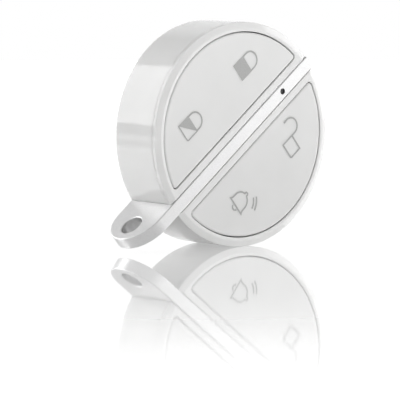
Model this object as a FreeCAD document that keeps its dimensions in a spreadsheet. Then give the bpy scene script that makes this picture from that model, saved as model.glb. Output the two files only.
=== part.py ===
import FreeCAD, Part
import math
import os
import Sketcher

# A round remote key fob with two D-shaped rocker keys and a metal plate between them that ends in a
# key-ring lug. Every piece is drawn in the fob's own directions: the disc's axis is Z, its face is
# the plane Z = 0 with the back at minus body_thickness, and the plate runs along Y with the
# indicator hole at plus Y and the lug at minus Y. At the end the fob is stood on its rim.

V = FreeCAD.Vector
doc = FreeCAD.newDocument("RemoteKeyFob")

# Driving dimensions, in millimetres and degrees

SIZES = (
    ("body_radius", 22.6, "radius of the round body"),
    ("body_thickness", 13.0, "face to back"),
    ("shell_wall", 1.0, "side wall of the rear shell"),
    ("shell_floor", 1.4, "back wall of the rear shell"),
    ("rim_lip", 0.55, "thickness of the rim that laps the cover"),
    ("rim_gap", 0.06, "parting gap between the cover's brim and the rim"),
    ("back_round", 0.35, "rounding of the back edge"),
    ("ring_width", 1.88, "width of the cover's ring round the keys"),
    ("ring_slope", 1.25, "width of the sloped band round the ring's outer edge"),
    ("ring_fall", 0.42, "how far that band falls"),
    ("ring_round", 0.25, "rounding where the band meets the side"),
    ("brim_edge", 0.9, "side wall of the cover under that band"),
    ("window_round", 0.12, "rounding of the ring's inner edge"),
    ("ring_depth", 1.9, "from the face to the underside of the cover's ring"),
    ("skirt_gap", 0.4, "from the cover's skirt to the board"),
    ("beam_floor", 1.45, "beam left under the plate"),
    ("strip_half", 3.0, "half the width of the middle beam"),
    ("seat_fit", 0.05, "clearance between pieces that locate each other"),
    ("skirt_fit", 0.1, "clearance between the skirt and the shell"),
    ("key_gap", 0.2, "gap round each key"),
    ("key_thickness", 1.2, "plate of a key"),
    ("key_corner", 0.7, "corner radius of a key in plan"),
    ("key_round", 0.42, "rounding of a key's upper edge"),
    ("key_swing_room", 0.9, "free height under a key over the cover's bosses"),
    ("pivot_depth", 2.2, "from the face to the rocker's axis"),
    ("pivot_radius", 0.6, "rocker's trunnions"),
    ("pivot_fit", 0.05, "running clearance round a trunnion"),
    ("pivot_reach", 0.6, "how far a trunnion enters its cradle"),
    ("spine_half", 0.6, "half the width of the rib between the trunnions"),
    ("switch_inset", 8.6, "from the body's side to a switch"),
    ("switch_angle", 41.5, "degrees from the rocker's axis to a switch"),
    ("pip_radius", 1.5, "post under a key that presses the mat"),
    ("pip_gap", 0.35, "from that post to the mat at rest"),
    ("rib_width", 0.8, "stiffening rib of a key"),
    ("rib_depth", 0.8, "depth of that rib"),
    ("plate_width", 2.7, "thickness of the metal plate"),
    ("bar_depth", 2.4, "depth of the plate's bar under the face"),
    ("lug_neck", 4.2, "from the body to the centre of the lug's round end"),
    ("ring_hole_shift", 2.4, "from that centre outward to the key-ring hole"),
    ("ring_hole_radius", 2.25, "key-ring hole"),
    ("ring_hole_round", 0.3, "rounding of the key-ring hole's edges"),
    ("led_inset", 7.42, "from the ring's inner edge to the indicator hole"),
    ("led_hole_radius", 0.625, "indicator hole"),
    ("tab_length", 5.9, "how far the lug's tab goes into the body"),
    ("foot_gap", 0.42, "from the ring's inner edge to the plate's foot"),
    ("foot_length", 2.5, "foot that hooks under the skirt"),
    ("toe_reach", 0.95, "how far the foot's toe goes under the skirt"),
    ("toe_gap", 0.45, "from the toe to the board"),
    ("toe_bridge", 0.85, "skirt left between the bar and the toe"),
    ("plate_round", 0.2, "rounding of the plate's long edges"),
    ("reveal_width", 0.15, "shadow gap beside the bar"),
    ("reveal_depth", 0.3, "shadow gap beside the bar"),
    ("pin_radius", 1.0, "cross pin through the lug's tab"),
    ("pin_length", 8.0, "cross pin"),
    ("pin_inset", 2.1, "from the tab's inner edge to the cross pin"),
    ("pin_depth", 8.6, "from the face to the cross pin"),
    ("leg_lap", 0.2, "how far the cover's legs pass the pin's ends"),
    ("board_depth", 4.6, "from the face to the board's front"),
    ("board_thickness", 0.8, "circuit board"),
    ("board_gap", 0.6, "from the board to the side wall"),
    ("screw_inset", 3.9, "from the body's side to a case screw"),
    ("screw_angle", 57.0, "degrees from the rocker's axis to a case screw"),
    ("screw_radius", 0.95, "case screw"),
    ("screw_play", 0.15, "clearance of a case screw in the board and the posts"),
    ("screw_reach", 1.6, "length of the screw inside its boss"),
    ("head_radius", 1.75, "head of a case screw"),
    ("head_height", 1.25, "head of a case screw"),
    ("head_sink", 1.6, "from the back to the seat of the screw's head"),
    ("boss_radius", 1.9, "cover's screw bosses"),
    ("post_radius", 2.1, "shell's posts under the board"),
    ("web_half", 0.5, "half the thickness of the ribs at bosses and posts"),
    ("mat_thickness", 0.5, "sheet of the silicone mats"),
    ("mat_gap", 0.52, "from the ring's inner edge to the mats"),
    ("plunger_radius", 2.0, "mat's plunger over a dome"),
    ("dome_radius", 2.5, "metal snap dome"),
    ("dome_height", 0.25, "metal snap dome"),
    ("dome_sheet", 0.08, "metal of a snap dome"),
    ("led_length", 1.6, "indicator light"),
    ("led_height", 0.55, "indicator light"),
    ("pipe_flange", 0.8, "flange of the light pipe inside the beam"),
    ("pipe_sunk", 0.35, "from the face to the light pipe's tip"),
    ("radio_length", 4.0, "radio chip"),
    ("controller_length", 5.0, "controller chip"),
    ("chip_height", 0.9, "radio and controller chips"),
    ("crystal_length", 3.2, "crystal's can"),
    ("passive_length", 1.6, "small components"),
    ("cell_radius", 10.0, "coin cell"),
    ("cell_thickness", 3.2, "coin cell"),
    ("contact_space", 1.1, "from the board to the cell"),
    ("contact_sheet", 0.2, "metal of the battery contacts"),
    ("contact_width", 3.6, "battery contacts"),
    ("negative_half", 3.2, "half the length of the leaf under the cell"),
    ("cradle_wall", 1.0, "ring round the cell"),
    ("cradle_fit", 0.3, "clearance between the cell and its ring"),
    ("peg_radius", 0.45, "cradle's pegs in the board"),
    ("neck_gap", 0.2, "from the cradle to the door's neck"),
    ("neck_wall", 0.95, "wall of the neck"),
    ("neck_play", 0.15, "clearance between the neck and the opening"),
    ("door_flange", 0.85, "thickness of the door's flange"),
    ("door_floor", 1.5, "thickness of the door inside its neck"),
    ("door_lap", 0.2, "how far the flange passes the seal's channel"),
    ("door_play", 0.1, "gap round the door's flange"),
    ("lip_thickness", 0.8, "bayonet lip"),
    ("tab_half", 2.7, "half the width of a bayonet tab"),
    ("tab_reach", 0.95, "how far a bayonet tab stands out of the neck"),
    ("tab_height", 0.8, "bayonet tab"),
    ("door_turn", 30.0, "degrees from locked to free"),
    ("coin_slot_half", 5.0, "half the length of the coin slot"),
    ("coin_slot_width", 1.7, "coin slot"),
    ("coin_slot_depth", 0.9, "coin slot"),
    ("seal_radius", 0.45, "section of the door's seal"),
    ("wire_radius", 0.35, "antenna wire"),
    ("wire_bend", 0.9, "bend radius of the antenna's legs"),
    ("loop_gap", 2.2, "from the side wall to the antenna loop"),
    ("loop_rise", 1.2, "from the board to the loop"),
    ("loop_half", 45.0, "degrees, half the antenna's sweep"),
    ("stand_tilt", 38.4, "degrees of the plate above the ground"),
)

sheet = doc.addObject("Spreadsheet::Sheet", "Sizes")
for row, (alias, value, note) in enumerate(SIZES, 1):
    sheet.set("A%d" % row, note)
    sheet.set("B%d" % row, str(value))
    sheet.setAlias("B%d" % row, alias)
doc.recompute()


class Size:
    """A number together with the spreadsheet formula that it comes from."""

    def __init__(self, value, formula=None):
        self.value = float(value)
        self.formula = formula if formula is not None else repr(float(value))

    def _join(self, other, sign, swap=False):
        a, b = (as_size(other), self) if swap else (self, as_size(other))
        result = {"+": a.value + b.value, "-": a.value - b.value, "*": a.value * b.value,
                  "/": a.value / b.value if b.value else 0.0}[sign]
        return Size(result, "(%s %s %s)" % (a.formula, sign, b.formula))

    def __add__(self, other):
        return self._join(other, "+")

    def __radd__(self, other):
        return self._join(other, "+", True)

    def __sub__(self, other):
        return self._join(other, "-")

    def __rsub__(self, other):
        return self._join(other, "-", True)

    def __mul__(self, other):
        return self._join(other, "*")

    def __rmul__(self, other):
        return self._join(other, "*", True)

    def __truediv__(self, other):
        return self._join(other, "/")

    def __neg__(self):
        return Size(-self.value, "(0 - %s)" % self.formula)

    def __float__(self):
        return self.value


def as_size(number):
    return number if isinstance(number, Size) else Size(number)


def chord(radius, offset):
    """Half the chord of a circle at this distance from its centre."""
    r, d = as_size(radius), as_size(offset)
    return Size(math.sqrt(r.value ** 2 - d.value ** 2),
                "sqrt(%s * %s - %s * %s)" % (r.formula, r.formula, d.formula, d.formula))


def cosine(angle):
    return Size(math.cos(math.radians(angle.value)), "cos(%s)" % angle.formula)


def sine(angle):
    return Size(math.sin(math.radians(angle.value)), "sin(%s)" % angle.formula)


class Sheet:
    """The spreadsheet's cells by their aliases."""

    def __getattr__(self, alias):
        return Size(float(sheet.get(alias)), "Sizes." + alias)


s = Sheet()


# Helpers for sketches and features

def bind(obj, prop, size):
    """Set a property and tie it to the spreadsheet."""
    size = as_size(size)
    if "Sizes." in size.formula:
        obj.setExpression(prop, size.formula)
    elif prop.isidentifier():
        setattr(obj, prop, size.value)


def new_body(label):
    body = doc.addObject("PartDesign::Body", label)
    body.Label = label
    return body


def origin_part(body, role):
    return [o for o in body.Origin.OriginFeatures if o.Role == role][0]


def new_sketch(body, name, plane="XY_Plane", height=0, turn=0.0):
    """A sketch on one of the body's origin planes, raised along the plane's normal."""
    sk = body.newObject("Sketcher::SketchObject", name)
    sk.AttachmentSupport = (origin_part(body, plane), [""])
    sk.MapMode = "FlatFace"
    height = as_size(height)
    sk.AttachmentOffset = FreeCAD.Placement(V(0, 0, height.value), FreeCAD.Rotation(V(0, 0, 1), turn))
    if "Sizes." in height.formula:
        sk.setExpression("AttachmentOffset.Base.z", height.formula)
    return sk


def pin_coordinate(sk, kind, geo, pos, size):
    """Tie one coordinate of a sketch point to its formula."""
    size = as_size(size)
    if abs(size.value) < 1e-9:
        axis = -2 if kind == "DistanceX" else -1
        sk.addConstraint(Sketcher.Constraint("PointOnObject", geo, pos, axis))
        return
    if size.value > 0:
        number = sk.addConstraint(Sketcher.Constraint(kind, -1, 1, geo, pos, size.value))
    else:
        size = -size
        number = sk.addConstraint(Sketcher.Constraint(kind, geo, pos, -1, 1, size.value))
    if "Sizes." in size.formula:
        sk.setExpression("Constraints[%d]" % number, size.formula)


def draw_circle(sk, x, y, radius):
    x, y, radius = as_size(x), as_size(y), as_size(radius)
    geo = sk.addGeometry(Part.Circle(V(x.value, y.value, 0), V(0, 0, 1), radius.value))
    number = sk.addConstraint(Sketcher.Constraint("Radius", geo, radius.value))
    if "Sizes." in radius.formula:
        sk.setExpression("Constraints[%d]" % number, radius.formula)
    if abs(x.value) < 1e-9 and abs(y.value) < 1e-9:
        sk.addConstraint(Sketcher.Constraint("Coincident", geo, 3, -1, 1))
    else:
        pin_coordinate(sk, "DistanceX", geo, 3, x)
        pin_coordinate(sk, "DistanceY", geo, 3, y)


def draw_outline(sk, points, arcs=None):
    """A closed outline. arcs gives, for the side after a point, the arc's centre, whether it runs
    counterclockwise, and the centre's coordinate that is tied down."""
    arcs = arcs or {}
    pts = [(as_size(x), as_size(y)) for x, y in points]
    sides = []
    for i, (a, b) in enumerate(zip(pts, pts[1:] + pts[:1])):
        if i in arcs:
            cx, cy, ccw, tied = arcs[i]
            cx, cy = as_size(cx), as_size(cy)
            start, end = (a, b) if ccw else (b, a)
            a0 = math.atan2(start[1].value - cy.value, start[0].value - cx.value)
            a1 = math.atan2(end[1].value - cy.value, end[0].value - cx.value)
            if a1 <= a0:
                a1 += 2 * math.pi
            radius = math.hypot(a[0].value - cx.value, a[1].value - cy.value)
            circle = Part.Circle(V(cx.value, cy.value, 0), V(0, 0, 1), radius)
            geo = sk.addGeometry(Part.ArcOfCircle(circle, a0, a1))
            sides.append((geo, 1 if ccw else 2, 2 if ccw else 1))
        else:
            line = Part.LineSegment(V(a[0].value, a[1].value, 0), V(b[0].value, b[1].value, 0))
            sides.append((sk.addGeometry(line), 1, 2))
    for (geo, _, end), (after, start, _) in zip(sides, sides[1:] + sides[:1]):
        sk.addConstraint(Sketcher.Constraint("Coincident", geo, end, after, start))
    for (geo, start, _), (x, y) in zip(sides, pts):
        pin_coordinate(sk, "DistanceX", geo, start, x)
        pin_coordinate(sk, "DistanceY", geo, start, y)
    for i, (cx, cy, ccw, tied) in arcs.items():
        if tied == "x":
            pin_coordinate(sk, "DistanceX", sides[i][0], 3, cx)
        else:
            pin_coordinate(sk, "DistanceY", sides[i][0], 3, cy)


def draw_box(sk, x0, x1, y0, y1):
    draw_outline(sk, [(x0, y0), (x1, y0), (x1, y1), (x0, y1)])


def draw_key_outline(sk, side, edge, radius):
    """The D of a key: a straight edge beside the plate and an arc about the disc's axis."""
    half = chord(radius, edge)
    if side > 0:
        draw_outline(sk, [(edge, -half), (edge, half)], {1: (0, 0, False, "x")})
    else:
        draw_outline(sk, [(-edge, -half), (-edge, half)], {1: (0, 0, True, "x")})


def pad(body, sk, name, length, both_ways=False):
    feature = body.newObject("PartDesign::Pad", name)
    feature.Profile = sk
    if both_ways:
        feature.SideType = "Symmetric"
    bind(feature, "Length", length)
    doc.recompute()
    return feature


def pocket(body, sk, name, length, both_ways=False):
    """Cut from the sketch against its normal, and make sure that it cuts something."""
    before = body.Shape.Volume
    feature = body.newObject("PartDesign::Pocket", name)
    feature.Profile = sk
    if both_ways:
        feature.SideType = "Symmetric"
    bind(feature, "Length", length)
    doc.recompute()
    if not body.Shape.Volume < before - 1e-6:
        raise RuntimeError("%s in %s cuts nothing" % (name, body.Label))
    return feature


def revolve(body, sk, name):
    feature = body.newObject("PartDesign::Revolution", name)
    feature.Profile = sk
    feature.ReferenceAxis = (sk, ["V_Axis"])
    feature.Angle = 360
    doc.recompute()
    return feature


def polar(body, features, name, count):
    """Repeat features about the disc's axis."""
    pattern = body.newObject("PartDesign::PolarPattern", name)
    pattern.Originals = features
    pattern.Axis = (origin_part(body, "Z_Axis"), [""])
    pattern.Angle = 360
    pattern.Occurrences = count
    body.Tip = pattern
    doc.recompute()
    return pattern


def round_edges(body, name, radius, test):
    """Fillet the edges of the body that pass the test."""
    tip = body.Tip
    names = ["Edge%d" % i for i, edge in enumerate(tip.Shape.Edges, 1) if test(edge)]
    if not names:
        raise RuntimeError("%s in %s finds no edge" % (name, body.Label))
    fillet = body.newObject("PartDesign::Fillet", name)
    fillet.Base = (tip, names)
    bind(fillet, "Radius", radius)
    doc.recompute()
    return fillet


def near(a, b, slack=0.01):
    return abs(float(a) - float(b)) < slack


def is_circle(edge, radius, height):
    curve = edge.Curve
    return (isinstance(curve, Part.Circle) and near(curve.Radius, radius)
            and near(curve.Center.z, height) and near(abs(curve.Axis.z), 1))


def upright_at(edge, x, y, slack=0.05):
    """Whether an edge runs along Z through this point."""
    a, b = edge.Vertexes[0].Point, edge.Vertexes[-1].Point
    return all(near(p.x, x, slack) and near(p.y, y, slack) for p in (a, b)) and not near(a.z, b.z)


MIRRORED = ((1, 1), (-1, 1), (-1, -1), (1, -1))

# Places that follow from the dimensions

back = -s.body_thickness
wall_inner = s.body_radius - s.shell_wall
window_radius = s.body_radius - s.ring_width
flat_radius = s.body_radius - s.ring_slope
ring_outer = s.body_radius - s.rim_lip - s.seat_fit
skirt_outer = wall_inner - s.skirt_fit
skirt_inner = window_radius + 0.1
skirt_depth = s.board_depth - s.skirt_gap
brim_depth = s.ring_fall + s.brim_edge
rim_depth = brim_depth + s.rim_gap
rim_step = s.ring_depth + s.skirt_fit
beam_depth = s.bar_depth + s.seat_fit + s.beam_floor
plate_half = s.plate_width / 2
slot_half = plate_half + s.seat_fit
bar_end = chord(s.body_radius, plate_half)
lug_radius = s.body_thickness / 2
lug_straight = s.body_radius + s.lug_neck
ring_hole_offset = lug_straight + s.ring_hole_shift
led_offset = window_radius - s.led_inset
tab_inner = s.body_radius - s.tab_length
pin_offset = tab_inner + s.pin_inset
pin_top = s.pin_depth - s.pin_radius
leg_half = s.pin_length / 2 + s.leg_lap
foot_outer = window_radius - s.foot_gap
foot_inner = foot_outer - s.foot_length
toe_top = s.bar_depth + s.seat_fit + s.toe_bridge
foot_top = toe_top + s.seat_fit
foot_end = s.board_depth - s.toe_gap
board_back = s.board_depth + s.board_thickness
board_radius = wall_inner - s.board_gap
screw_x = (s.body_radius - s.screw_inset) * cosine(s.screw_angle)
screw_y = (s.body_radius - s.screw_inset) * sine(s.screw_angle)
switch_x = (s.body_radius - s.switch_inset) * cosine(s.switch_angle)
switch_y = (s.body_radius - s.switch_inset) * sine(s.switch_angle)
boss_depth = s.key_thickness + s.key_swing_room
mat_front = s.board_depth - s.mat_thickness
plunger_top = s.pivot_depth + s.pivot_radius + 0.1
cell_depth = board_back + s.contact_space
cell_back = cell_depth + s.cell_thickness
cradle_inner = s.cell_radius + s.cradle_fit
cradle_outer = cradle_inner + s.cradle_wall
neck_inner = cradle_outer + s.neck_gap
neck_radius = neck_inner + s.neck_wall
opening = neck_radius + s.neck_play
seal_channel = neck_radius + s.tab_reach + 0.5
door_radius = seal_channel + s.door_lap
door_seat = door_radius + s.door_play
door_back = s.body_thickness - s.door_flange
lip_depth = door_back - s.seal_radius * 2 - s.seat_fit
lip_back = lip_depth - s.lip_thickness
boss_ring = door_seat + 1.1
tab_low = lip_back - 0.1
neck_top = tab_low - s.tab_height


def screw_places(sides=(1, -1)):
    return [(i * screw_x, j * screw_y) for i, j in MIRRORED if i in sides]


def switch_places(sides=(1, -1)):
    return [(i * switch_x, j * switch_y) for i, j in MIRRORED if i in sides]


def draw_circles(sk, places, radius):
    for x, y in places:
        draw_circle(sk, x, y, radius)


def draw_webs(sk, outer):
    """Ribs from the screws' places out to a wall's inner radius."""
    end = chord(outer, screw_x - s.web_half) + 0.1
    for i, j in MIRRORED:
        x, y = i * screw_x, j * screw_y
        draw_box(sk, x - s.web_half, x + s.web_half, *sorted((y, j * end), key=float))


# Rear shell: a cup with the battery opening, screw posts and the slot for the lug

shell = new_body("rear_shell")
sk = new_sketch(shell, "shell_profile", "XZ_Plane")
draw_outline(sk, [
    (door_seat, back), (s.body_radius, back), (s.body_radius, -rim_depth),
    (s.body_radius - s.rim_lip, -rim_depth), (s.body_radius - s.rim_lip, -rim_step),
    (wall_inner, -rim_step), (wall_inner, back + s.shell_floor),
    (boss_ring, back + s.shell_floor), (boss_ring, -lip_back), (opening, -lip_back),
    (opening, -lip_depth), (seal_channel, -lip_depth),
    (seal_channel, -(door_back - s.seat_fit)), (door_seat, -(door_back - s.seat_fit))])
revolve(shell, sk, "shell_cup")
round_edges(shell, "back_edge", s.back_round, lambda e: is_circle(e, s.body_radius, back))

floor_middle = back + s.shell_floor / 2
sk = new_sketch(shell, "post_circles", height=floor_middle)
draw_circles(sk, screw_places(), s.post_radius)
pad(shell, sk, "posts", -floor_middle - board_back)
sk = new_sketch(shell, "post_rib_boxes", height=floor_middle)
draw_webs(sk, wall_inner)
pad(shell, sk, "post_ribs", -floor_middle - board_back - 2)

block_half = leg_half + 0.2
sk = new_sketch(shell, "pin_block_box", height=floor_middle)
draw_box(sk, -block_half, block_half, -(wall_inner + 0.2), -(tab_inner - 1))
pad(shell, sk, "pin_blocks", -floor_middle - pin_top)
pin_groove = s.pin_radius + s.seat_fit
sk = new_sketch(shell, "pin_groove_outline", "YZ_Plane")
draw_outline(sk, [
    (-(pin_offset + pin_groove), -s.pin_depth), (-(pin_offset - pin_groove), -s.pin_depth),
    (-(pin_offset - pin_groove), 0.5 - pin_top), (-(pin_offset + pin_groove), 0.5 - pin_top)],
    {0: (-pin_offset, -s.pin_depth, True, "y")})
pocket(shell, sk, "pin_groove", s.pin_length + 2 * s.seat_fit, both_ways=True)

sk = new_sketch(shell, "lug_slot_box")
draw_box(sk, -slot_half, slot_half, -(s.body_radius + 1), -(tab_inner - s.seat_fit))
pocket(shell, sk, "lug_slot", s.body_thickness + 1)
sk = new_sketch(shell, "bar_notch_box")
draw_box(sk, -slot_half, slot_half, wall_inner - 1, s.body_radius + 1)
pocket(shell, sk, "bar_notch", s.bar_depth + s.seat_fit)

sk = new_sketch(shell, "screw_hole_circles", height=-board_back)
draw_circles(sk, screw_places(), s.screw_radius + s.screw_play)
pocket(shell, sk, "screw_holes", s.body_thickness)
sk = new_sketch(shell, "screw_sink_circles", height=back + s.head_sink)
draw_circles(sk, screw_places(), s.head_radius + 0.2)
pocket(shell, sk, "screw_sinks", s.head_sink)

notch_turn = 30.0 - float(s.door_turn)
sk = new_sketch(shell, "bayonet_notch_box", height=-lip_back, turn=notch_turn)
draw_box(sk, -(s.tab_half + 0.3), s.tab_half + 0.3, neck_radius - 0.5, neck_radius + s.tab_reach + 0.2)
notch = pocket(shell, sk, "bayonet_notch", s.lip_thickness)
polar(shell, [notch], "bayonet_notches", 3)
stop_swing = math.degrees(math.asin(float(s.tab_half) / float(neck_radius))) + 3.5
for name, turn in (("lock_stop", 30.0 + stop_swing), ("free_stop", notch_turn - stop_swing)):
    sk = new_sketch(shell, name + "_box", height=-lip_back - 0.2, turn=turn)
    draw_box(sk, -0.5, 0.5, opening + 0.15, boss_ring - 0.2)
    stop = pad(shell, sk, name, s.tab_height + 0.2)
    polar(shell, [stop], name + "s", 3)

# Front cover: the sloped ring, the skirt inside the shell and the beam that carries the plate

cover = new_body("front_cover")
sk = new_sketch(cover, "cover_profile", "XZ_Plane")
draw_outline(sk, [
    (0, 0), (flat_radius, 0), (s.body_radius, -s.ring_fall), (s.body_radius, -brim_depth),
    (ring_outer, -brim_depth), (ring_outer, -s.ring_depth), (skirt_outer, -s.ring_depth),
    (skirt_outer, -skirt_depth), (skirt_inner, -skirt_depth),
    (skirt_inner, -beam_depth), (0, -beam_depth)])
revolve(cover, sk, "cover_disc")
sk = new_sketch(cover, "bar_reveal_box")
reveal_half = slot_half + s.reveal_width
draw_box(sk, -reveal_half, reveal_half, -(s.body_radius + 1), s.body_radius + 1)
pocket(cover, sk, "bar_reveal", s.reveal_depth)
for name, side in (("left_window", -1), ("right_window", 1)):
    sk = new_sketch(cover, name + "_outline")
    draw_key_outline(sk, side, s.strip_half, window_radius)
    pocket(cover, sk, name, s.body_thickness)
window_half = chord(window_radius, s.strip_half)
round_edges(cover, "window_corners", s.key_corner + s.key_gap,
            lambda e: any(upright_at(e, i * s.strip_half, j * window_half) for i, j in MIRRORED))
round_edges(cover, "window_edges", s.window_round,
            lambda e: all(near(v.Point.z, 0) and abs(v.Point.x) > float(reveal_half) + 0.1
                          for v in e.Vertexes))

sk = new_sketch(cover, "boss_circles", height=-s.board_depth)
draw_circles(sk, screw_places(), s.boss_radius)
pad(cover, sk, "bosses", s.board_depth - boss_depth)
sk = new_sketch(cover, "boss_web_boxes", height=-(mat_front - 0.1))
draw_webs(sk, skirt_inner)
pad(cover, sk, "boss_webs", mat_front - 0.1 - boss_depth)
sk = new_sketch(cover, "boss_hole_circles", height=-(s.board_depth - s.screw_reach - 0.1))
draw_circles(sk, screw_places(), s.screw_radius + s.seat_fit)
pocket(cover, sk, "boss_holes", s.screw_reach + 0.5)

sk = new_sketch(cover, "leg_box", height=s.seat_fit - pin_top)
draw_box(sk, -leg_half, leg_half, -(window_radius + 0.2), -(tab_inner + 0.6))
pad(cover, sk, "legs", pin_top - s.seat_fit - s.bar_depth)

sk = new_sketch(cover, "bar_channel_box")
draw_box(sk, -slot_half, slot_half, -(s.body_radius + 1), s.body_radius + 1)
pocket(cover, sk, "bar_channel", s.bar_depth + s.seat_fit)
sk = new_sketch(cover, "lug_slot_box")
draw_box(sk, -slot_half, slot_half, -(s.body_radius + 1), -(tab_inner - s.seat_fit))
pocket(cover, sk, "lug_slot", s.body_thickness)
sk = new_sketch(cover, "foot_slot_box")
draw_box(sk, -slot_half, slot_half, foot_inner - s.toe_reach - s.seat_fit, foot_outer + s.seat_fit)
pocket(cover, sk, "foot_slot", beam_depth + 1)
sk = new_sketch(cover, "toe_room_box", height=-toe_top)
draw_box(sk, -slot_half, slot_half, foot_outer - 0.1, s.body_radius)
pocket(cover, sk, "toe_room", skirt_depth)
round_edges(cover, "ring_edge", s.ring_round, lambda e: is_circle(e, s.body_radius, -s.ring_fall))

cradle_radius = s.pivot_radius + s.pivot_fit
for name, x0, x1 in (("beam_cradle", s.strip_half - s.pivot_reach - 0.1, s.strip_half + 1),
                     ("skirt_cradle", window_radius - 1, skirt_outer + 0.5)):
    for label, side, start in (("left_", -1, -x0), ("right_", 1, x1)):
        sk = new_sketch(cover, label + name + "_outline", "YZ_Plane", height=start)
        draw_outline(sk, [
            (cradle_radius, -s.pivot_depth), (-cradle_radius, -s.pivot_depth),
            (-cradle_radius, -(skirt_depth + 1)), (cradle_radius, -(skirt_depth + 1))],
            {0: (0, -s.pivot_depth, True, "y")})
        pocket(cover, sk, label + name, x1 - x0)

sk = new_sketch(cover, "pipe_hole_circle")
draw_circle(sk, 0, led_offset, s.led_hole_radius)
pocket(cover, sk, "pipe_hole", beam_depth + 1)
flange_radius = s.led_hole_radius * 2
sk = new_sketch(cover, "pipe_sink_circle", height=-(beam_depth - s.pipe_flange))
draw_circle(sk, 0, led_offset, flange_radius)
pocket(cover, sk, "pipe_sink", s.pipe_flange + 0.5)

# Centre plate: one piece of metal plate with the bar, the hooked foot, the tab and the lug

plate = new_body("centre_plate")
sk = new_sketch(plate, "plate_outline", "YZ_Plane")
draw_outline(sk, [
    (bar_end, 0), (-lug_straight, 0), (-lug_straight, back),
    (-tab_inner, back), (-tab_inner, -s.bar_depth), (foot_inner, -s.bar_depth),
    (foot_inner, -foot_end), (foot_outer + s.toe_reach, -foot_end),
    (foot_outer + s.toe_reach, -foot_top), (foot_outer, -foot_top), (foot_outer, -s.bar_depth),
    (bar_end, -s.bar_depth)],
    {1: (-lug_straight, -lug_radius, True, "x")})
pad(plate, sk, "plate_blank", s.plate_width, both_ways=True)


def on_plate_rim(edge):
    """The long outer edges: the bar's face, the lug's two straight sides and its round end."""
    points = [v.Point for v in edge.Vertexes]
    if any(not near(abs(p.x), plate_half) for p in points) or near(points[0].x, -points[-1].x):
        return False
    middle = edge.valueAt((edge.FirstParameter + edge.LastParameter) / 2)
    return near(middle.z, 0) or near(middle.z, back) or middle.y < -float(lug_straight) - 0.1


round_edges(plate, "plate_edges", s.plate_round, on_plate_rim)
sk = new_sketch(plate, "ring_hole_circle", "YZ_Plane")
draw_circle(sk, -ring_hole_offset, -lug_radius, s.ring_hole_radius)
pocket(plate, sk, "ring_hole", s.plate_width + 1, both_ways=True)
round_edges(plate, "ring_hole_edges", s.ring_hole_round,
            lambda e: isinstance(e.Curve, Part.Circle) and near(e.Curve.Radius, s.ring_hole_radius)
            and near(abs(e.Curve.Axis.x), 1) and near(abs(e.Curve.Center.x), plate_half))
sk = new_sketch(plate, "pin_hole_circle", "YZ_Plane")
draw_circle(sk, -pin_offset, -s.pin_depth, s.pin_radius + 0.02)
pocket(plate, sk, "pin_hole", s.plate_width + 1, both_ways=True)
sk = new_sketch(plate, "led_hole_circle")
draw_circle(sk, 0, led_offset, s.led_hole_radius)
pocket(plate, sk, "led_hole", s.bar_depth + 1)

# Keys: D-shaped rockers on two trunnions each, with a post over each switch


def make_key(label, side):
    key = new_body(label)
    edge = s.strip_half + s.key_gap
    radius = window_radius - s.key_gap
    sk = new_sketch(key, label + "_outline", height=-s.key_thickness)
    draw_key_outline(sk, side, edge, radius)
    pad(key, sk, label + "_plate", s.key_thickness)
    half = chord(radius, edge)
    round_edges(key, label + "_corners", s.key_corner,
                lambda e: any(upright_at(e, side * edge, j * half) for j in (1, -1)))
    round_edges(key, label + "_top_edge", s.key_round,
                lambda e: all(near(v.Point.z, 0) for v in e.Vertexes))
    inner, outer = edge + 0.1, radius - 0.2
    sk = new_sketch(key, label + "_spine_box", height=-(s.pivot_depth + s.pivot_radius))
    draw_box(sk, *sorted((side * inner, side * outer), key=float), -s.spine_half, s.spine_half)
    pad(key, sk, label + "_spine", s.pivot_depth + s.pivot_radius - s.key_thickness / 2)
    ends = sorted((side * (s.strip_half - s.pivot_reach), side * (window_radius + s.pivot_reach)), key=float)
    sk = new_sketch(key, label + "_trunnion_circle", "YZ_Plane", height=ends[0])
    draw_circle(sk, 0, -s.pivot_depth, s.pivot_radius)
    pad(key, sk, label + "_trunnions", ends[1] - ends[0])
    sk = new_sketch(key, label + "_rib_box", height=-(s.key_thickness + s.rib_depth))
    x = side * switch_x
    draw_box(sk, x - s.rib_width / 2, x + s.rib_width / 2, -switch_y, switch_y)
    pad(key, sk, label + "_rib", s.rib_depth + s.key_thickness / 2)
    sk = new_sketch(key, label + "_post_circles", height=-(plunger_top - s.pip_gap))
    draw_circles(sk, switch_places([side]), s.pip_radius)
    pad(key, sk, label + "_posts", plunger_top - s.pip_gap - s.key_thickness / 2)
    return key


left_key = make_key("left_key", -1)
right_key = make_key("right_key", 1)

# Silicone mats: a sheet under each key with a plunger over each dome and two rests for the spine


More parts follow.
